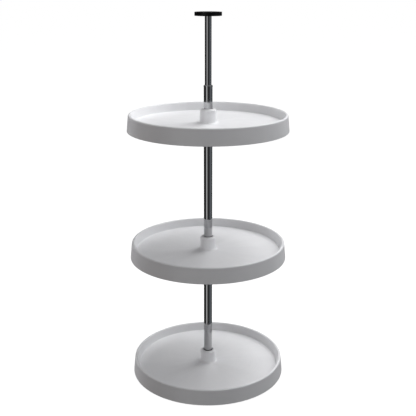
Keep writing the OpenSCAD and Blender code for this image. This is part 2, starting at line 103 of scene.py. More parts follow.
class ShaderGraph:
    """One material's node tree, built with short calls."""

    def __init__(self, name: str) -> None:
        """Starts a material that ends in a Principled shader.

        Args:
            name: the material's name.
        """
        self.material = bpy.data.materials.new(name)
        self.material.use_nodes = True
        self.tree = self.material.node_tree
        self.tree.nodes.clear()
        self.output = self.tree.nodes.new("ShaderNodeOutputMaterial")
        self.shader = self.tree.nodes.new("ShaderNodeBsdfPrincipled")
        self.tree.links.new(self.shader.outputs["BSDF"], self.output.inputs["Surface"])

    def feed(self, socket: Socket, value: object) -> None:
        """Links a socket to an output, or sets its plain value.

        Args:
            socket: the input to fill.
            value: an output socket, a number or a tuple.
        """
        if isinstance(value, bpy.types.NodeSocket):
            self.tree.links.new(value, socket)
        else:
            socket.default_value = value

    def node(self, kind: str, **inputs: object) -> bpy.types.Node:
        """Adds a node and fills its inputs.

        Args:
            kind: the node's type, without its common prefix.
            **inputs: values or outputs, by input name with underscores for spaces.

        Returns:
            The new node.
        """
        made = self.tree.nodes.new("ShaderNode" + kind)
        for name, value in inputs.items():
            self.feed(made.inputs[name.replace("_", " ")], value)
        return made

    def math(self, operation: str, first: object, second: object = 0.0) -> Socket:
        """Adds a sum, product or other step of arithmetic.

        Args:
            operation: the step's name.
            first: its first operand.
            second: its second operand.

        Returns:
            The result.
        """
        made = self.tree.nodes.new("ShaderNodeMath")
        made.operation = operation
        self.feed(made.inputs[0], first)
        self.feed(made.inputs[1], second)
        return made.outputs["Value"]

    def place(self) -> Socket:
        """Gives the place on the object, in metres."""
        return self.node("TexCoord").outputs["Object"]

    def noise(self, fineness: float, detail: float = 3.0, at: Socket | None = None) -> Socket:
        """Adds a noise.

        Args:
            fineness: how many lumps there are in a metre, or in a unit of the place given.
            detail: octaves of finer noise.
            at: the place it is read at, or none for the place on the object.

        Returns:
            The noise, from 0 to 1.
        """
        made = self.node("TexNoise", Vector=at or self.place(), Scale=fineness, Detail=detail)
        return made.outputs["Fac"]

    def turned_noise(self, scale: Place, detail: float) -> Socket:
        """Adds a noise that follows the turning round the post.

        Args:
            scale: how many lumps there are in a metre of radius, in a turn, and in a metre of height.
            detail: octaves of finer noise.

        Returns:
            The noise, from 0 to 1.
        """
        along, around, up = scale
        parts = self.node("SeparateXYZ", Vector=self.place()).outputs
        square = self.math("ADD", self.math("MULTIPLY", parts["X"], parts["X"]),
                           self.math("MULTIPLY", parts["Y"], parts["Y"]))
        angle = self.math("DIVIDE", self.math("ARCTAN2", parts["Y"], parts["X"]), TURN)
        place = self.node("CombineXYZ", X=self.math("MULTIPLY", self.math("SQRT", square), along),
                          Y=self.math("MULTIPLY", angle, around), Z=self.math("MULTIPLY", parts["Z"], up))
        return self.noise(1.0, detail, place.outputs["Vector"])

    def spread(self, value: Socket, low: float, high: float, cut: float = 0.3) -> Socket:
        """Maps the middle of a noise to a range.

        Args:
            value: a noise from 0 to 1.
            low: the result where the noise is low.
            high: the result where the noise is high.
            cut: how much of the noise's range is cut off at each end.

        Returns:
            The mapped value.
        """
        made = self.node("MapRange", Value=value, From_Min=cut, From_Max=1.0 - cut, To_Min=low, To_Max=high)
        return made.outputs["Result"]

    def blend(self, factor: object, first: object, second: object) -> Socket:
        """Mixes two colours.

        Args:
            factor: how much of the second colour there is.
            first: the colour at 0.
            second: the colour at 1.

        Returns:
            The mixed colour.
        """
        made = self.tree.nodes.new("ShaderNodeMix")
        made.data_type = "RGBA"
        mixed = [socket for socket in made.inputs if socket.type == "RGBA"]
        self.feed(made.inputs["Factor"], factor)
        for socket, colour in zip(mixed, (first, second)):
            self.feed(socket, (*colour, 1.0) if isinstance(colour, tuple) else colour)
        return next(socket for socket in made.outputs if socket.type == "RGBA")

    def bump(self, height: Socket, depth: float, under: Socket | None = None) -> Socket:
        """Adds relief.

        Args:
            height: the relief, from 0 to 1.
            depth: its full depth in metres.
            under: the normal of a coarser relief that it lies on.

        Returns:
            The bent normal.
        """
        made = self.node("Bump", Height=height, Distance=depth, Strength=1.0)
        if under is not None:
            self.feed(made.inputs["Normal"], under)
        return made.outputs["Normal"]

    def ramp(self, value: Socket, stops: Sequence[tuple[float, Colour]]) -> Socket:
        """Maps a value through stops of colour.

        Args:
            value: a value from 0 to 1.
            stops: pairs of place and colour.

        Returns:
            The colour.
        """
        made = self.node("ValToRGB", Fac=value)
        elements = made.color_ramp.elements
        while len(elements) < len(stops):
            elements.new(0.5)
        for element, (at, colour) in zip(elements, stops):
            element.position = at
            element.color = (*colour, 1.0)
        return made.outputs["Color"]


@dataclass(frozen=True)
class MouldedWhite:
    """White moulded polymer: faint flow lines out from the hub, a fine grain, and light rubbing on the floor.

    A scale of three numbers is for radius, turns and height.
    """

    name: str = "white moulded polymer"
    colour: Colour = (0.780, 0.785, 0.800)
    flow_colour: Colour = (0.745, 0.750, 0.768)
    flow_scale: Place = (9.0, 26.0, 6.0)
    rubbed_colour: Colour = (0.800, 0.803, 0.812)
    rub_scale: Place = (420.0, 16.0, 20.0)
    rub_cut: float = 0.42
    rub_patch_scale: float = 11.0
    rub_strength: float = 0.35
    roughness: float = 0.46
    roughness_spread: float = 0.06
    haze_scale: float = 60.0
    grain: float = 1400.0
    grain_depth: float = 0.012 * MM
    wave_scale: float = 14.0
    wave_depth: float = 0.35 * MM
    ior: float = 1.49

    def material(self) -> bpy.types.Material:
        """Builds the finish.

        Returns:
            The material.
        """
        graph = ShaderGraph(self.name)
        inputs = graph.shader.inputs
        flow = graph.turned_noise(self.flow_scale, detail=4.0)
        rubs = graph.turned_noise(self.rub_scale, detail=5.0)
        patches = graph.spread(graph.noise(self.rub_patch_scale, detail=2.0), 0.0, 1.0)
        base = graph.blend(graph.spread(flow, 0.0, 1.0), self.colour, self.flow_colour)
        rubbed = graph.math("MULTIPLY", graph.spread(rubs, 0.0, 1.0, self.rub_cut), patches)
        graph.feed(inputs["Base Color"], graph.blend(graph.math("MULTIPLY", rubbed, self.rub_strength), base,
                                                     self.rubbed_colour))
        haze = graph.spread(graph.noise(self.haze_scale, detail=4.0), -self.roughness_spread,
                            self.roughness_spread)
        rough = graph.math("ADD", haze, self.roughness)
        graph.feed(inputs["Roughness"],
                   graph.math("SUBTRACT", rough, graph.math("MULTIPLY", rubbed, self.roughness_spread)))
        waves = graph.bump(graph.noise(self.wave_scale, detail=1.0), self.wave_depth)
        grain = graph.noise(self.grain, detail=2.0)
        graph.feed(inputs["Normal"], graph.bump(grain, self.grain_depth, waves))
        inputs["IOR"].default_value = self.ior
        return graph.material


@dataclass(frozen=True)
class PlatedTube:
    """Bright plating over a drawn tube: hairlines along it, a faint film, and small smudges from hands.

    A scale of three numbers is for radius, turns and height.
    """

    name: str = "bright plated tube"
    colour: Colour = (0.450, 0.451, 0.458)
    film_colour: Colour = (0.410, 0.411, 0.420)
    film_scale: Place = (0.0, 5.0, 14.0)
    roughness: float = 0.045
    smudge_roughness: float = 0.030
    smudge_scale: float = 34.0
    smudge_cut: float = 0.42
    hairline_scale: Place = (0.0, 160.0, 3.0)
    hairline_depth: float = 0.0004 * MM

    def material(self) -> bpy.types.Material:
        """Builds the finish.

        Returns:
            The material.
        """
        graph = ShaderGraph(self.name)
        inputs = graph.shader.inputs
        inputs["Metallic"].default_value = 1.0
        film = graph.turned_noise(self.film_scale, detail=3.0)
        smudges = graph.spread(graph.noise(self.smudge_scale, detail=4.0), 0.0, 1.0, self.smudge_cut)
        hairlines = graph.turned_noise(self.hairline_scale, detail=3.0)
        graph.feed(inputs["Base Color"],
                   graph.blend(graph.spread(film, 0.0, 1.0), self.colour, self.film_colour))
        graph.feed(inputs["Roughness"],
                   graph.math("ADD", graph.math("MULTIPLY", smudges, self.smudge_roughness), self.roughness))
        graph.feed(inputs["Normal"], graph.bump(hairlines, self.hairline_depth))
        return graph.material


@dataclass(frozen=True)
class MouldedFitting:
    """A moulded or turned plastic fitting: faint clouds in its colour, and rings from its tool."""

    name: str
    colour: Colour
    cloud_colour: Colour
    roughness: float
    roughness_spread: float
    grain: float
    grain_depth: float
    ring_pitch: float
    ior: float = 1.5
    cloud_scale: float = 70.0
    ring_wander: float = 2.0

    def material(self) -> bpy.types.Material:
        """Builds the finish.

        Returns:
            The material.
        """
        graph = ShaderGraph(self.name)
        inputs = graph.shader.inputs
        clouds = graph.noise(self.cloud_scale, detail=4.0)
        graph.feed(inputs["Base Color"],
                   graph.blend(graph.spread(clouds, 0.0, 1.0), self.colour, self.cloud_colour))
        fine = 1.0 / self.ring_pitch
        rings = graph.turned_noise((fine, self.ring_wander, fine), detail=2.0)
        graph.feed(inputs["Roughness"], graph.spread(rings, self.roughness - self.roughness_spread,
                                                     self.roughness + self.roughness_spread))
        turned = graph.bump(rings, self.grain_depth)
        grain = graph.noise(self.grain, detail=2.0)
        graph.feed(inputs["Normal"], graph.bump(grain, self.grain_depth, turned))
        inputs["IOR"].default_value = self.ior
        return graph.material


@dataclass(frozen=True)
class CoatedSteel:
    """Small steel hardware: a plated or blackened coat that is a little uneven, with fine tool marks."""

    name: str
    colour: Colour
    worn_colour: Colour
    roughness: float
    worn_roughness: float
    marks: float
    mark_depth: float
    wear_scale: float = 260.0
    wear_cut: float = 0.38

    def material(self) -> bpy.types.Material:
        """Builds the finish.

        Returns:
            The material.
        """
        graph = ShaderGraph(self.name)
        inputs = graph.shader.inputs
        inputs["Metallic"].default_value = 1.0
        worn = graph.spread(graph.noise(self.wear_scale, detail=5.0), 0.0, 1.0, self.wear_cut)
        marks = graph.noise(self.marks, detail=3.0)
        graph.feed(inputs["Base Color"], graph.blend(worn, self.colour, self.worn_colour))
        graph.feed(inputs["Roughness"], graph.spread(marks, self.roughness, self.worn_roughness))
        graph.feed(inputs["Normal"], graph.bump(marks, self.mark_depth))
        return graph.material


class FinishShop:
    """Makes each slot's finish once, and puts it on pieces."""

    RECIPES = {
        Slot.WHITE_POLYMER: MouldedWhite(),
        Slot.CHROME: PlatedTube(),
        Slot.BLACK_NYLON: MouldedFitting(
            "black glass-filled nylon",
            colour=(0.0025, 0.0025, 0.0028), cloud_colour=(0.0045, 0.0045, 0.0048),
            roughness=0.34, roughness_spread=0.06, grain=1300.0, grain_depth=0.01 * MM, ring_pitch=1.1 * MM,
            ior=1.28),
        # This dark grey is the plugs' and bushes' own colour, and in the hubs it is also painted shade: the
        # dark bush stands in for the shade deep in the recess round the post.
        Slot.GREY_ACETAL: MouldedFitting(
            "grey acetal", colour=(0.050, 0.050, 0.054), cloud_colour=(0.070, 0.070, 0.074),
            roughness=0.34, roughness_spread=0.07, grain=900.0, grain_depth=0.008 * MM, ring_pitch=0.5 * MM),
        Slot.NATURAL_ACETAL: MouldedFitting(
            "natural acetal", colour=(0.74, 0.73, 0.68), cloud_colour=(0.66, 0.65, 0.60),
            roughness=0.32, roughness_spread=0.07, grain=900.0, grain_depth=0.008 * MM, ring_pitch=0.5 * MM),
        Slot.ZINC_STEEL: CoatedSteel(
            "zinc plated steel", colour=(0.60, 0.61, 0.63), worn_colour=(0.47, 0.48, 0.51),
            roughness=0.22, worn_roughness=0.40, marks=900.0, mark_depth=0.008 * MM),
        Slot.BLACK_STEEL: CoatedSteel(
            "blackened steel", colour=(0.040, 0.040, 0.043), worn_colour=(0.085, 0.082, 0.078),
            roughness=0.28, worn_roughness=0.48, marks=1100.0, mark_depth=0.008 * MM),
    }

    def __init__(self) -> None:
        """Makes every finish."""
        self.finish = {slot: recipe.material() for slot, recipe in self.RECIPES.items()}

    def coat(self, piece: Piece, slot: Slot) -> None:
        """Puts a finish on a piece in every one of its material slots.

        Args:
            piece: the piece, new or packed.
            slot: the finish.
        """
        if not piece.material_slots:
            piece.data.materials.append(None)
        for holder in piece.material_slots:
            holder.material = self.finish[slot]


# ---------------------------------------------------------------- workbench


@dataclass(frozen=True)
class Corner:
    """A corner of a drawn outline: its distance from the axis, its height, and how it is rounded."""

    r: float
    z: float
    rounding: float = 0.0
    segments: int = 6

    def place(self) -> Vector:
        """Gives the corner's place in the drawing plane."""
        return Vector((self.r, 0.0, self.z))


class Bench:
    """One mesh on the workbench, shaped in edit mode with Blender's own tools."""

    TOLERANCE = 1e-6
    SMOOTH_BELOW = math.radians(32.0)
    FACING = 0.9

    def __init__(self, name: str, primitive: Callable[..., set[str]], **sizes: object) -> None:
        """Adds a primitive at its size and place, with nothing else selected.

        Args:
            name: the piece's name.
            primitive: the operator that adds it.
            **sizes: the operator's own settings.
        """
        bpy.ops.object.select_all(action="DESELECT")
        primitive(**sizes)
        self.piece = bpy.context.object
        self.piece.name = self.piece.data.name = name
        bpy.ops.object.transform_apply(location=True, rotation=True, scale=True)
        bpy.ops.object.mode_set(mode="EDIT")
        bpy.ops.mesh.select_all(action="SELECT")

    @classmethod
    def outline(cls, name: str, corners: Sequence[Corner], closed: bool = True) -> "Bench":
        """Draws an outline corner by corner, and then rounds the corners that ask for it.

        Args:
            name: the piece's name.
            corners: the corners in order.
            closed: whether the last corner joins the first.

        Returns:
            The bench with the outline on it.
        """
        bench = cls(name, bpy.ops.mesh.primitive_plane_add, size=MM, location=corners[0].place())
        bpy.ops.mesh.merge(type="CENTER")
        for here, there in zip(corners, corners[1:]):
            bpy.ops.mesh.extrude_region_move(
                TRANSFORM_OT_translate={"value": there.place() - here.place()})
        if closed:
            ends = (corners[0], corners[-1])
            bench.pick(Pick.POINTS, lambda at, _: any(bench.meets(at, end) for end in ends))
            bpy.ops.mesh.edge_face_add()
        for index, corner in enumerate(corners):
            if corner.rounding:
                bench.round_off(corners[index - 1], corner, corners[(index + 1) % len(corners)])
        return bench

    def meets(self, at: Vector, corner: Corner) -> bool:
        """Tells whether a point lies on a corner."""
        return (at - corner.place()).length < self.TOLERANCE

    def round_off(self, before: Corner, corner: Corner, after: Corner) -> None:
        """Rounds one corner of the outline, tangent to both its sides.

        Args:
            before: the corner before it.
            corner: the corner to round.
            after: the corner after it.
        """
        sides = (before.place() - corner.place(), after.place() - corner.place())
        reach = corner.rounding / math.tan(sides[0].angle(sides[1]) / 2)
        self.pick(Pick.POINTS, lambda at, _: self.meets(at, corner))
        bpy.ops.mesh.bevel(affect="VERTICES", offset_type="OFFSET", offset=reach,
                           segments=corner.segments, profile=0.5)

    def pick(self, kind: Pick, test: Test) -> None:
        """Selects what passes a test of its place and normal, and nothing else.

        Args:
            kind: whether points or faces are picked.
            test: the test.
        """
        bpy.ops.mesh.select_mode(type=kind.value)
        bpy.ops.mesh.select_all(action="DESELECT")
        bpy.ops.object.mode_set(mode="OBJECT")
        mesh = self.piece.data
        if kind is Pick.POINTS:
            found = ((point, point.co, point.normal) for point in mesh.vertices)
        else:
            found = ((face, face.center, face.normal) for face in mesh.polygons)
        for element, place, normal in found:
            element.select = test(place, normal)
        bpy.ops.object.mode_set(mode="EDIT")

    def turn(self, steps: int) -> None:
        """Turns the outline round the post into a closed skin.

        Args:
            steps: how many flats there are in a full turn.
        """
        bpy.ops.mesh.select_all(action="SELECT")
        bpy.ops.mesh.spin(steps=steps, angle=TURN, center=ORIGIN, axis=UP)
        bpy.ops.mesh.select_all(action="SELECT")
        bpy.ops.mesh.remove_doubles(threshold=self.TOLERANCE)
        self.face_outwards()

    def thicken(self, thickness: float) -> None:
        """Makes a plate of the outline, evenly to both sides of the drawing plane.

        Args:
            thickness: the plate's thickness.
        """
        bpy.ops.mesh.select_all(action="SELECT")
        bpy.ops.mesh.edge_face_add()
        bpy.ops.transform.translate(value=(0.0, -thickness / 2, 0.0))
        bpy.ops.mesh.extrude_region_move(TRANSFORM_OT_translate={"value": (0.0, thickness, 0.0)})
        self.face_outwards()

    def face_outwards(self) -> None:
        """Turns every face outwards."""
        bpy.ops.mesh.select_all(action="SELECT")
        bpy.ops.mesh.normals_make_consistent(inside=False)

    def ease_edges(self, width: float) -> None:
        """Rounds every edge a little."""
        bpy.ops.mesh.select_all(action="SELECT")
        bpy.ops.mesh.bevel(affect="EDGES", offset_type="OFFSET", offset=width, segments=2, profile=0.5)

    def repeat_round(self, count: int, start: float = 0.0) -> None:
        """Copies all there is evenly round the post.

        Args:
            count: how many there are in the end.
            start: the first one's angle.
        """
        bpy.ops.mesh.select_all(action="SELECT")
        if start:
            bpy.ops.transform.rotate(value=start, orient_axis="Z", center_override=ORIGIN)
        bpy.ops.mesh.spin(steps=count - 1, dupli=True, angle=TURN * (count - 1) / count,
                          center=ORIGIN, axis=UP)

    def set_down(self) -> Piece:
        """Leaves edit mode.

        Returns:
            The piece.
        """
        bpy.ops.object.mode_set(mode="OBJECT")
        return self.piece

    @staticmethod
    def hold(*pieces: Piece) -> None:
        """Selects some pieces and nothing else, and makes the first one active.

        Args:
            *pieces: the pieces.
        """
        bpy.ops.object.select_all(action="DESELECT")
        for piece in pieces:
            piece.select_set(True)
        bpy.context.view_layer.objects.active = pieces[0]

    @classmethod
    def modify(cls, piece: Piece, kind: str, **settings: object) -> None:
        """Puts a modifier on a piece and applies it.

        Args:
            piece: the piece.
            kind: the modifier's type.
            **settings: its settings.
        """
        cls.hold(piece)
        modifier = piece.modifiers.new(kind.lower(), kind)
        for name, value in settings.items():
            setattr(modifier, name, value)
        bpy.ops.object.modifier_apply(modifier=modifier.name)

    @classmethod
    def cut(cls, piece: Piece, cutter: Piece) -> None:
        """Cuts one piece with another, which is used up.

        Args:
            piece: the piece that is cut.
            cutter: the piece whose room is taken out of it.
        """
        cls.modify(piece, "BOOLEAN", operation="DIFFERENCE", object=cutter)
        bpy.data.objects.remove(cutter)

    @classmethod
    def join(cls, *pieces: Piece) -> Piece:
        """Makes one piece of several.

        Args:
            *pieces: the pieces, of which the first keeps its name.

        Returns:
            The joined piece.
        """
        cls.hold(*pieces)
        bpy.ops.object.join()
        return pieces[0]

    @classmethod
    def polish(cls, piece: Piece) -> None:
        """Shades a piece smoothly, with large faces left true and sharp edges kept.

        Args:
            piece: the piece.
        """
        cls.hold(piece)
        bpy.ops.object.shade_smooth_by_angle(angle=cls.SMOOTH_BELOW)
        cls.modify(piece, "WEIGHTED_NORMAL", keep_sharp=True)

    @classmethod
    def move(cls, piece: Piece, shift: Sequence[float], turned: Sequence[float] = ORIGIN) -> None:
        """Turns and shifts a piece, and puts its place in its mesh.

        Args:
            piece: the piece.
            shift: how far it goes.
            turned: its turns about X, Y and Z, made before the shift.
        """
        cls.hold(piece)
        piece.rotation_euler = turned
        piece.location = shift
        bpy.ops.object.transform_apply(location=True, rotation=True, scale=True)

    @classmethod
    def copy(cls, piece: Piece, name: str, shift: Sequence[float]) -> Piece:
        """Copies a piece with a mesh of its own.

        Args:
            piece: the piece.
            name: the copy's name.
            shift: how far from the piece it goes.

        Returns:
            The copy.
        """
        cls.hold(piece)
        bpy.ops.object.duplicate(linked=False)
        twin = bpy.context.object
        twin.name = twin.data.name = name
        cls.move(twin, shift)
        return twin


# ---------------------------------------------------------------- sub-assemblies


@dataclass(frozen=True)
class SubAssembly:
    """Pieces that belong together: new ones are built and declared, packed ones only dressed."""

    shop: FinishShop

    def dress(self, slot: Slot, *nodes: str) -> None:
        """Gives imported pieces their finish.

        Args:
            slot: the finish.
            *nodes: the pieces' nodes.
        """
        for node in nodes:
            self.shop.coat(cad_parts[node], slot)
            LOG.info("%-24s packed form, %s", node, slot.value)

    def declare(self, piece: Piece, node: str, body: str, slot: Slot) -> None:
        """Puts a new piece in the place of a packed one.

        Args:
            piece: the new piece.
            node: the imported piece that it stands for.
            body: the body that it moves with.
            slot: the finish.
        """
        self.shop.coat(piece, slot)
        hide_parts(node)
        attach(piece, body)
        LOG.info("%-24s new form, %d faces, %s", node, len(piece.data.polygons), slot.value)


@dataclass(frozen=True)
class Wall:
    """A slanted wall's straight side in the section, from its foot and tangent to the bead along the rim."""

    foot_r: float
    foot_z: float
    angle: float
    thickness: float

    @classmethod
    def tangent(cls, foot: tuple[float, float], bead: tuple[float, float], bead_r: float, side: int,
                thickness: float) -> "Wall":
        """Finds the wall from its foot that touches the bead.

        Args:
            foot: the radius and height of the wall's foot.
            bead: the radius and height of the bead's middle.
            bead_r: the bead's radius.
            side: 1 if the wall passes left of the bead, and -1 if right.
            thickness: the wall's thickness.

        Returns:
            The wall.
        """
        run, rise = bead[0] - foot[0], bead[1] - foot[1]
        angle = math.atan2(rise, run) + side * math.asin(bead_r / math.hypot(run, rise))
        return cls(foot[0], foot[1], angle, thickness)

    def face_r(self, z: float) -> float:
        """Gives the radius of the wall's outer face at a height."""
        return self.foot_r + (z - self.foot_z) / math.tan(self.angle)

    def across(self) -> float:
        """Gives the wall's thickness, measured level."""
        return self.thickness / math.sin(self.angle)


@dataclass(frozen=True)
class TraySizes:
    """The sizes of a tray. Heights are counted from its rim."""

    rim_r: float = 228.6 * MM
    skirt_foot_r: float = 233.0 * MM
    skirt_z: float = -47.25 * MM
    floor_z: float = -25.3 * MM
    floor_edge_r: float = 214.5 * MM
    wall: float = 2.6 * MM
    bead_r: float = 4.6 * MM
    floor_rounding: float = 2.5 * MM
    foot_rounding: float = 0.8 * MM
    hub_top_z: float = 14.2 * MM
    hub_foot_z: float = -34.0 * MM
    hub_top_r: float = 23.2 * MM
    hub_r: float = 23.8 * MM
    hub_wall: float = 2.4 * MM
    hub_web: float = 4.5 * MM
    cove: float = 6.0 * MM
    hub_chamfer: float = 3.8 * MM
    bush_r: float = 15.0 * MM
    bush_h: float = 12.0 * MM
    shoulder: float = 1.0 * MM
    mouth: float = 8.0 * MM
    chamfer: float = 0.6 * MM
    rib: float = 2.0 * MM
    rib_rim_h: float = 3.6 * MM
    ring_rib_h: float = 4.0 * MM
    ring_rib_rs: tuple[float, float] = (82.0 * MM, 148.0 * MM)
    rib_count: int = 12
    hub_web_count: int = 6
    web_edge_gap: float = 9.0 * MM
    bite: float = 0.8 * MM
    brow_rounding: float = 1.2 * MM
    chamfer_rounding: float = 0.8 * MM
    ease: float = 0.3 * MM
    steps: int = 144
    cove_segments: int = 10
    foot_segments: int = 4
    ease_segments: int = 2

    @property
    def under_z(self) -> float:
        """The underside of the floor."""
        return self.floor_z - self.wall

    @property
    def bead(self) -> tuple[float, float]:
        """The middle of the bead along the rim."""
        return self.rim_r - self.bead_r, -self.bead_r

    @property
    def inner(self) -> Wall:
        """The wall inside the rim."""
        return Wall.tangent((self.floor_edge_r, self.floor_z), self.bead, self.bead_r, 1, self.wall)

    @property
    def skirt(self) -> Wall:
        """The skirt outside the rim."""
        return Wall.tangent((self.skirt_foot_r, self.skirt_z), self.bead, self.bead_r, -1, self.wall)

    def inner_back(self, z: float) -> float:
        """Gives the radius of the inner wall's back at a height."""
        return self.inner.face_r(z) + self.inner.across()

    def skirt_back(self, z: float) -> float:
        """Gives the radius of the skirt's inside at a height."""
        return self.skirt.face_r(z) - self.skirt.across()


@dataclass(frozen=True)
class Tray(SubAssembly):
    """A moulded tray with its hollow rim, cored hub and ribs, and the two bushes in its hub."""

    HEIGHTS = {Tier.BOTTOM: 57.0 * MM, Tier.MIDDLE: 433.2 * MM, Tier.TOP: 816.4 * MM}

    sizes: TraySizes = TraySizes()

    def section(self) -> Iterator[Corner]:
        """Draws the half section: bore, hub, floor, inner wall, bead, skirt, hollow rim and hub's hollow.

        Yields:
            The corners in order.
        """
        s = self.sizes
        slope = (s.hub_r - s.hub_top_r) / (s.hub_top_z - s.hub_chamfer - s.floor_z - s.cove)
        hollow_r = s.bush_r + s.hub_wall
        waist_top = s.hub_top_z - s.mouth - s.bush_h
        yield Corner(s.bush_r, s.hub_foot_z)
        yield Corner(s.bush_r, s.hub_foot_z + s.bush_h)
        yield Corner(s.bush_r - s.shoulder, s.hub_foot_z + s.bush_h)
        yield Corner(s.bush_r - s.shoulder, waist_top)
        yield Corner(s.bush_r, waist_top)
        yield Corner(s.bush_r, s.hub_top_z - s.chamfer)
        yield Corner(s.bush_r + s.chamfer, s.hub_top_z)
        yield Corner(s.hub_top_r - s.hub_chamfer, s.hub_top_z, s.brow_rounding)
        yield Corner(s.hub_top_r, s.hub_top_z - s.hub_chamfer, s.chamfer_rounding)
        yield Corner(s.hub_r + slope * s.cove, s.floor_z, s.cove, s.cove_segments)
        yield Corner(s.floor_edge_r, s.floor_z, s.floor_rounding)
        yield Corner(s.inner.face_r(0.0), 0.0, s.bead_r)
        yield Corner(s.skirt.face_r(0.0), 0.0, s.bead_r)
        yield Corner(s.skirt_foot_r, s.skirt_z, s.foot_rounding, s.foot_segments)
        yield Corner(s.skirt_back(s.skirt_z), s.skirt_z, s.foot_rounding, s.foot_segments)
        yield Corner(s.skirt_back(-s.wall), -s.wall, s.bead_r - s.wall)
        yield Corner(s.inner_back(-s.wall), -s.wall, s.bead_r - s.wall)
        yield Corner(s.inner_back(s.under_z), s.under_z)
        yield Corner(s.hub_r, s.under_z)
        yield Corner(s.hub_r, s.hub_foot_z)
        yield Corner(s.hub_r - s.hub_wall, s.hub_foot_z)
        yield Corner(s.hub_top_r - s.hub_wall, s.hub_top_z - s.hub_web)
        yield Corner(hollow_r, s.hub_top_z - s.hub_web)
        yield Corner(hollow_r, s.hub_foot_z)

    def plates(self, name: str, count: int, outline: Sequence[Corner], start: float = 0.0) -> Piece:
        """Makes plates of an outline, with eased edges, evenly round the post.

        Args:
            name: the piece's name.
            count: how many plates there are.
            outline: a plate's corners.
            start: the first plate's angle.

        Returns:
            The plates as one piece.
        """
        bench = Bench.outline(name, outline)
        bench.thicken(self.sizes.rib)
        bench.ease_edges(self.sizes.ease)
        bench.repeat_round(count, start)
        return bench.set_down()

    def ribs(self) -> Iterator[Piece]:
        """Makes the ring ribs, the long ribs, the webs across the hollow rim, and the webs in the hub.

        The long ribs grow shallower from the hub to the rim, and each has two webs across the rim.

        Yields:
            Each ring rib, and then each other kind as one piece.
        """
        s = self.sizes
        in_floor, ring_z, rib_z = s.under_z + s.bite, s.under_z - s.ring_rib_h, s.under_z - s.rib_rim_h
        for r in s.ring_rib_rs:
            bench = Bench.outline("ring_rib", [
                Corner(r - s.rib / 2, ring_z, s.ease, s.ease_segments),
                Corner(r + s.rib / 2, ring_z, s.ease, s.ease_segments),
                Corner(r + s.rib / 2, in_floor), Corner(r - s.rib / 2, in_floor)])
            bench.turn(s.steps)
            yield bench.set_down()
        near, far = s.hub_r - s.bite, s.inner_back(s.under_z) - s.bite / 2
        yield self.plates("long_ribs", s.rib_count, [
            Corner(near, s.hub_foot_z), Corner(near, in_floor), Corner(far, in_floor), Corner(far, rib_z)])
        near, roof, edge = s.inner_back(s.under_z) - s.bite, s.bite - s.wall, s.skirt_z + s.web_edge_gap
        yield self.plates("rim_webs", 2 * s.rib_count, [
            Corner(near, in_floor), Corner(s.inner_back(roof) - s.bite, roof),
            Corner(s.skirt_back(roof) + s.bite, roof), Corner(s.skirt_back(edge) + s.bite, edge),
            Corner(near, rib_z)])
        near, roof = s.bush_r + s.hub_wall - s.bite, s.hub_top_z - s.hub_web + s.bite
        yield self.plates("hub_webs", s.hub_web_count, [
            Corner(near, s.under_z), Corner(s.hub_r - s.bite, s.under_z),
            Corner(s.hub_top_r - s.bite, roof), Corner(near, roof)], math.pi / s.hub_web_count)

    def moulding(self) -> Piece:
        """Makes one whole tray with its rim at zero height.

        Returns:
            The tray.
        """
        bench = Bench.outline("tray", list(self.section()))
        bench.turn(self.sizes.steps)
        tray = Bench.join(bench.set_down(), *self.ribs())
        Bench.polish(tray)
        return tray

    def build(self) -> None:
        """Makes the tray once, puts a copy at each level, and dresses the bushes."""
        master = self.moulding()
        for tier, rim_z in self.HEIGHTS.items():
            tray = Bench.copy(master, f"{tier.value}_moulded_tray", (0.0, 0.0, rim_z))
            self.declare(tray, f"{tier.value}_tray", f"{tier.value}_shelf", Slot.WHITE_POLYMER)
            # The upper bushes' dark grey is partly their acetal colour and partly painted shade for the hub's
            # recess round the post.
            self.dress(Slot.GREY_ACETAL, f"{tier.value}_upper_bush", f"{tier.value}_lower_bush")
        bpy.data.objects.remove(master)


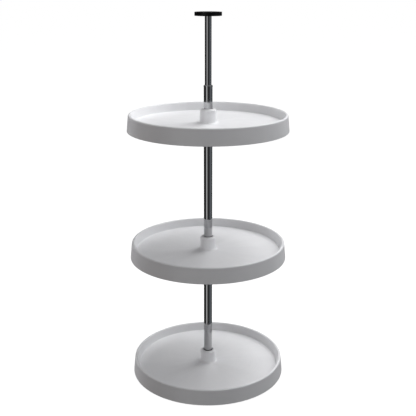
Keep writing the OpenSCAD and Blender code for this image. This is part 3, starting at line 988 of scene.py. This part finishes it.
@dataclass(frozen=True)
class MachineScrew:
    """A screw with a rolled thread and a hexagon socket, made upright with its head's seat or top at zero.

    The hexagon is a share of the head's radius, the socket of its height, the drilled point of the hexagon's
    radius, and the thread's own sizes are shares of the pitch.
    """

    name: str
    head: Head
    thread_r: float
    pitch: float
    length: float
    head_r: float = 0.0
    head_h: float = 0.0
    hex_share: float = 0.5
    socket_share: float = 0.6
    steps: int = 48
    thread_steps: int = 24
    thread_depth: float = 0.6
    thread_sink: float = 0.1
    crest: float = 0.125
    flank_slack: float = 0.96
    end_chamfer: float = 0.7
    drill_inset: float = 0.25
    drill_depth: float = 0.3
    ease: float = 0.3 * MM
    knurl_inset: float = 0.06 * MM
    knurl_depth: float = 0.12 * MM

    @property
    def root_r(self) -> float:
        """The radius at the foot of the thread."""
        return self.thread_r - self.thread_depth * self.pitch

    @property
    def hex_r(self) -> float:
        """The radius over the corners of the hexagon socket."""
        return (self.head_r or self.thread_r) * self.hex_share

    @property
    def top_z(self) -> float:
        """The height of the end with the socket."""
        return self.head_h if self.head is Head.SOCKET_CAP else 0.0

    @property
    def thread_top(self) -> float:
        """The height up to which the thread may run."""
        return {Head.SOCKET_CAP: 0.0, Head.COUNTERSUNK: self.thread_r - self.head_r,
                Head.NONE: -self.pitch}[self.head]

    def blank(self) -> Piece:
        """Turns the screw's body, without its thread.

        Returns:
            The body.
        """
        tip, ease = self.end_chamfer * self.pitch, self.ease
        core = [Corner(0.0, -self.length), Corner(self.root_r - tip / 2, -self.length),
                Corner(self.root_r, tip - self.length)]
        if self.head is Head.SOCKET_CAP:
            core += [Corner(self.root_r, 0.0), Corner(self.head_r - ease, 0.0), Corner(self.head_r, ease),
                     Corner(self.head_r, self.head_h - ease), Corner(self.head_r - ease, self.head_h)]
        elif self.head is Head.COUNTERSUNK:
            core += [Corner(self.root_r, self.thread_top), Corner(self.head_r, 0.0)]
        else:
            core += [Corner(self.root_r, -tip), Corner(self.root_r - tip / 2, 0.0)]
        bench = Bench.outline(self.name, core + [Corner(0.0, self.top_z)], closed=False)
        bench.turn(self.steps)
        if self.head is Head.SOCKET_CAP:
            self.knurl(bench)
        return bench.set_down()

    def knurl(self, bench: Bench) -> None:
        """Sinks every other facet round the head.

        Args:
            bench: the bench with the body on it.
        """
        def is_groove(place: Vector, normal: Vector) -> bool:
            """Tells whether a face is on the head's side and the facet's number is even."""
            facet = round(math.atan2(place.y, place.x) / TURN * self.steps - 0.5)
            return abs(normal.z) < 1.0 - Bench.FACING and place.z > 0.0 and facet % 2 == 0

        bench.pick(Pick.FACES, is_groove)
        bpy.ops.mesh.inset(thickness=self.knurl_inset, depth=-self.knurl_depth, use_individual=True)

    def socket(self) -> Piece:
        """Makes the cutter for the hexagon socket, with a drilled point at its bottom.

        Returns:
            The cutter.
        """
        depth = self.socket_share * (self.head_h or self.length / 2)
        bench = Bench("socket", bpy.ops.mesh.primitive_cylinder_add, vertices=6, radius=self.hex_r,
                      depth=2 * depth, location=(0.0, 0.0, self.top_z))
        bench.pick(Pick.FACES, lambda _, normal: normal.z < -Bench.FACING)
        bpy.ops.mesh.inset(thickness=self.hex_r * self.drill_inset)
        bpy.ops.mesh.extrude_region_move(
            TRANSFORM_OT_translate={"value": (0.0, 0.0, -self.hex_r * self.drill_depth)})
        bpy.ops.mesh.merge(type="CENTER")
        return bench.set_down()

    def ridge(self) -> Piece:
        """Winds the thread's ridge round the shank.

        Returns:
            The ridge, closed at both ends.
        """
        sunk = self.root_r - self.thread_sink * self.pitch
        flank = self.pitch * (1 - self.crest) / 2 * self.flank_slack
        foot = -self.length + self.end_chamfer * self.pitch
        turns = max(1, int((self.thread_top - foot) / self.pitch - 0.5))
        bench = Bench.outline("ridge", [
            Corner(sunk, foot), Corner(self.thread_r, foot + flank),
            Corner(self.thread_r, foot + flank + self.crest * self.pitch),
            Corner(sunk, foot + 2 * flank + self.crest * self.pitch)])
        Bench.modify(bench.set_down(), "SCREW", axis="Z", angle=TURN, screw_offset=self.pitch,
                     iterations=turns, steps=self.thread_steps, render_steps=self.thread_steps)
        bpy.ops.object.mode_set(mode="EDIT")
        bpy.ops.mesh.select_all(action="SELECT")
        bpy.ops.mesh.fill_holes(sides=0)
        bench.face_outwards()
        return bench.set_down()

    def build(self) -> Piece:
        """Makes the whole screw.

        Returns:
            The screw.
        """
        blank = self.blank()
        Bench.cut(blank, self.socket())
        screw = Bench.join(blank, self.ridge())
        Bench.polish(screw)
        return screw


@dataclass(frozen=True)
class Post(SubAssembly):
    """The lower tube with its plug, ferrule and lock screw, and the thrust washers on it."""

    lock_screw: MachineScrew = MachineScrew("rod_lock_screw", Head.NONE, thread_r=2.5 * MM, pitch=0.8 * MM,
                                            length=5.3 * MM)
    lock_screw_end: Place = (0.0, 14.9 * MM, 883.1 * MM)

    def build(self) -> None:
        """Dresses the tube and what sits on it, and makes the lock screw."""
        self.dress(Slot.CHROME, "lower_tube", "tube_ferrule")
        self.dress(Slot.GREY_ACETAL, "tube_end_plug")
        self.dress(Slot.NATURAL_ACETAL, *(f"{tier.value}_thrust_washer" for tier in Tier))
        screw = self.lock_screw.build()
        Bench.move(screw, self.lock_screw_end, (-math.pi / 2, 0.0, 0.0))
        self.declare(screw, "lock_screw", POST_BODY, Slot.BLACK_STEEL)


@dataclass(frozen=True)
class SupportCollars(SubAssembly):
    """The split collars that carry the middle and the top tray, each with the screw that clamps it."""

    screw: MachineScrew = MachineScrew("clamp_screw", Head.SOCKET_CAP, thread_r=2.0 * MM, pitch=0.7 * MM,
                                       length=12.0 * MM, head_r=3.5 * MM, head_h=4.0 * MM)
    seat_x: float = 5.0 * MM
    screw_y: float = 17.25 * MM
    below_rim: float = 44.0 * MM

    def build(self) -> None:
        """Dresses the collars, makes the screw once, and puts a copy in each collar."""
        master = self.screw.build()
        Bench.move(master, ORIGIN, (0.0, math.pi / 2, 0.0))
        for tier in (Tier.MIDDLE, Tier.TOP):
            self.dress(Slot.ZINC_STEEL, f"{tier.value}_support_collar")
            place = (self.seat_x, self.screw_y, Tray.HEIGHTS[tier] - self.below_rim)
            screw = Bench.copy(master, f"{tier.value}_clamp_screw", place)
            self.declare(screw, f"{tier.value}_collar_screw", POST_BODY, Slot.BLACK_STEEL)
        bpy.data.objects.remove(master)


@dataclass(frozen=True)
class TelescopingRod(SubAssembly):
    """The upper rod with its guide and end plug."""

    def build(self) -> None:
        """Dresses the rod and what is pressed into it."""
        self.dress(Slot.CHROME, "upper_rod")
        self.dress(Slot.NATURAL_ACETAL, "rod_guide")
        self.dress(Slot.GREY_ACETAL, "rod_end_plug")


@dataclass(frozen=True)
class Brackets(SubAssembly):
    """The floor bracket with its centre screw, and the ceiling bracket."""

    centre_screw: MachineScrew = MachineScrew("centre_screw", Head.COUNTERSUNK, thread_r=3.0 * MM,
                                              pitch=1.0 * MM, length=21.7 * MM, head_r=6.0 * MM,
                                              head_h=3.0 * MM)
    centre_screw_top: Place = (0.0, 0.0, 0.3 * MM)

    def build(self) -> None:
        """Dresses both brackets and makes the centre screw."""
        self.dress(Slot.BLACK_NYLON, "floor_bracket", "top_bracket")
        screw = self.centre_screw.build()
        Bench.move(screw, self.centre_screw_top, (math.pi, 0.0, 0.0))
        self.declare(screw, "bracket_screw", POST_BODY, Slot.ZINC_STEEL)


# ---------------------------------------------------------------- studio


@dataclass(frozen=True)
class Softbox:
    """A square area light aimed at the part's middle. It lights the part, and the chrome doesn't show it.

    A bearing of 0 is the viewer's side, and 90 is the right.
    """

    name: str
    bearing: float
    elevation: float
    watts: float
    side: float = 1.8
    distance: float = 3.0
    target: Place = (0.0, 0.0, 0.55)
    tint: Colour = WHITE

    def build(self) -> None:
        """Adds the light."""
        data = bpy.data.lights.new(self.name, "AREA")
        data.shape, data.size = "SQUARE", self.side
        data.energy, data.color = self.watts, self.tint
        lamp = bpy.data.objects.new(self.name, data)
        turned, raised = math.radians(self.bearing), math.radians(self.elevation)
        level = math.cos(raised)
        out = Vector((math.sin(turned) * level, -math.cos(turned) * level, math.sin(raised)))
        lamp.location = Vector(self.target) + self.distance * out
        lamp.rotation_euler = (-out).to_track_quat("-Z", "Y").to_euler()
        bpy.context.scene.collection.objects.link(lamp)
        lamp.visible_camera = lamp.visible_glossy = False


@dataclass(frozen=True)
class Tent:
    """A grey tent all round that only shows in gloss. Its panels are set out by bearing.

    A bearing of 0 is the viewer's side, and 90 is the right. Each stop is a bearing and a brightness. The
    panels on the right are a little cool.
    """

    radius: float = 3.2
    low: float = -3.5
    high: float = 2.6
    steps: int = 96
    roof: float = 0.5
    roof_slack: float = 0.01
    cool: Colour = (0.92, 1.0, 1.085)
    cool_from: float = 20.0
    stops: tuple[tuple[float, float], ...] = (
        (-180.0, 0.02), (-90.0, 0.015), (-63.0, 0.03), (-53.0, 0.20), (-45.0, 0.80), (-36.0, 0.93),
        (-28.0, 0.62), (-18.0, 0.21), (-8.0, 0.09), (0.0, 0.045), (15.0, 0.04), (30.0, 0.065), (45.0, 0.09),
        (55.0, 0.16), (66.0, 0.25), (82.0, 0.21), (92.0, 0.15), (125.0, 0.12), (140.0, 0.04), (180.0, 0.02),
    )

    def shade(self, bearing: float, grey: float) -> Colour:
        """Gives the colour of a stop."""
        return tuple(grey * part for part in self.cool) if bearing > self.cool_from else (grey,) * 3

    def build(self) -> None:
        """Adds the tent."""
        bench = Bench("reflection_tent", bpy.ops.mesh.primitive_cylinder_add, vertices=self.steps,
                      radius=self.radius, depth=self.high - self.low, end_fill_type="NGON",
                      location=(0.0, 0.0, (self.high + self.low) / 2))
        bench.pick(Pick.FACES, lambda _, normal: normal.z > Bench.FACING)
        bpy.ops.mesh.inset(thickness=self.radius / 2)
        tent = bench.set_down()
        graph = ShaderGraph("reflection tent")
        graph.tree.nodes.remove(graph.shader)
        parts = graph.node("SeparateXYZ", Vector=graph.place()).outputs
        ahead = graph.math("MULTIPLY", parts["Y"], -1.0)
        turns = graph.math("DIVIDE", graph.math("ARCTAN2", parts["X"], ahead), TURN)
        wall = graph.ramp(graph.math("ADD", turns, 0.5),
                          [(at / 360.0 + 0.5, self.shade(at, grey)) for at, grey in self.stops])
        is_roof = graph.math("GREATER_THAN", parts["Z"], self.high - self.roof_slack)
        lamp = graph.node("Emission", Color=graph.blend(is_roof, wall, (self.roof,) * 3), Strength=1.0)
        graph.tree.links.new(lamp.outputs["Emission"], graph.output.inputs["Surface"])
        tent.data.materials.append(graph.material)
        tent.visible_camera = tent.visible_diffuse = tent.visible_shadow = False


@dataclass(frozen=True)
class PhotoCamera:
    """The photograph's camera, as found from the ellipses of the three trays."""

    distance: float = 2.12726
    height: float = 1.17596
    pitch_down: float = 17.4589
    roll: float = 0.04
    sensor: float = 36.0
    focal_px: float = 748.48
    centre_px: tuple[float, float] = (208.05, 216.79)
    image_px: float = 416.0

    def build(self) -> None:
        """Adds the camera and makes it the scene's."""
        data = bpy.data.cameras.new("camera")
        data.sensor_width = self.sensor
        data.lens = self.sensor * self.focal_px / self.image_px
        data.shift_x = (self.image_px / 2 - self.centre_px[0]) / self.image_px
        data.shift_y = (self.centre_px[1] - self.image_px / 2) / self.image_px
        camera = bpy.data.objects.new("camera", data)
        camera.location = (0.0, -self.distance, self.height)
        aim = Matrix.Rotation(math.radians(90.0 - self.pitch_down), 3, "X")
        camera.rotation_euler = (aim @ Matrix.Rotation(math.radians(self.roll), 3, "Z")).to_euler()
        bpy.context.scene.collection.objects.link(camera)
        bpy.context.scene.camera = camera


@dataclass(frozen=True)
class Studio:
    """A pale floor, soft lights, a tent for the gloss, and the camera."""

    floor_side: float = 400.0
    floor_glow: float = 1.0
    floor_greys: tuple[float, float] = (0.114, 0.126)
    floor_grain: float = 3.0
    lights: tuple[Softbox, ...] = (
        Softbox("key high on the right", bearing=135.0, elevation=60.0, watts=50.4),
        Softbox("key on the right", bearing=120.0, elevation=30.0, watts=30.5),
        Softbox("key behind on the right", bearing=150.0, elevation=30.0, watts=22.5),
        Softbox("overhead", bearing=0.0, elevation=90.0, watts=99.7, side=5.6, distance=7.0),
        Softbox("wide fill in front on the right", bearing=45.0, elevation=35.0, watts=218.7, side=9.26,
                distance=7.0, tint=(1.0, 0.997, 1.017)),
        Softbox("fill in front on the left", bearing=-30.0, elevation=30.0, watts=68.1, side=4.2,
                distance=7.0, tint=(1.02, 0.996, 0.972)),
        Softbox("low on the left", bearing=-90.0, elevation=0.0, watts=56.1, side=4.2,
                distance=7.0, tint=(1.064, 0.974, 0.973)),
        Softbox("low behind on the left", bearing=-135.0, elevation=0.0, watts=289.7, side=4.2,
                distance=7.0, tint=(1.0, 1.003, 1.022)),
    )

    def build(self) -> None:
        """Adds everything round the part."""
        self.floor()
        self.backdrop()
        for item in (*self.lights, Tent(), PhotoCamera()):
            item.build()
        view = bpy.context.scene.view_settings
        view.view_transform, view.look = "Standard", "None"

    def floor(self) -> None:
        """Adds the floor, which glows as white as the backdrop but throws no light on the part."""
        bench = Bench("floor", bpy.ops.mesh.primitive_plane_add, size=self.floor_side, location=ORIGIN)
        floor = bench.set_down()
        graph = ShaderGraph("pale floor")
        inputs = graph.shader.inputs
        grey = graph.spread(graph.noise(self.floor_grain), *self.floor_greys)
        paint = graph.node("CombineColor", Red=grey, Green=grey, Blue=grey)
        graph.feed(inputs["Base Color"], paint.outputs["Color"])
        inputs["Roughness"].default_value = 1.0
        inputs["Specular IOR Level"].default_value = 0.0
        inputs["Emission Color"].default_value = (*WHITE, 1.0)
        inputs["Emission Strength"].default_value = self.floor_glow
        floor.data.materials.append(graph.material)
        floor.visible_diffuse = floor.visible_glossy = floor.visible_shadow = False

    def backdrop(self) -> None:
        """Adds a white surrounding, which neither lights the part nor shows in its gloss."""
        world = bpy.data.worlds.new("white backdrop")
        world.use_nodes = True
        world.node_tree.nodes["Background"].inputs["Color"].default_value = (*WHITE, 1.0)
        world.cycles_visibility.diffuse = world.cycles_visibility.glossy = False
        bpy.context.scene.world = world


def main() -> None:
    """Builds the carousel and its studio."""
    logging.basicConfig(level=logging.INFO, format="%(message)s")
    shop = FinishShop()
    Tray(shop).build()
    Post(shop).build()
    SupportCollars(shop).build()
    TelescopingRod(shop).build()
    Brackets(shop).build()
    Studio().build()


if __name__ == "__main__":
    main()
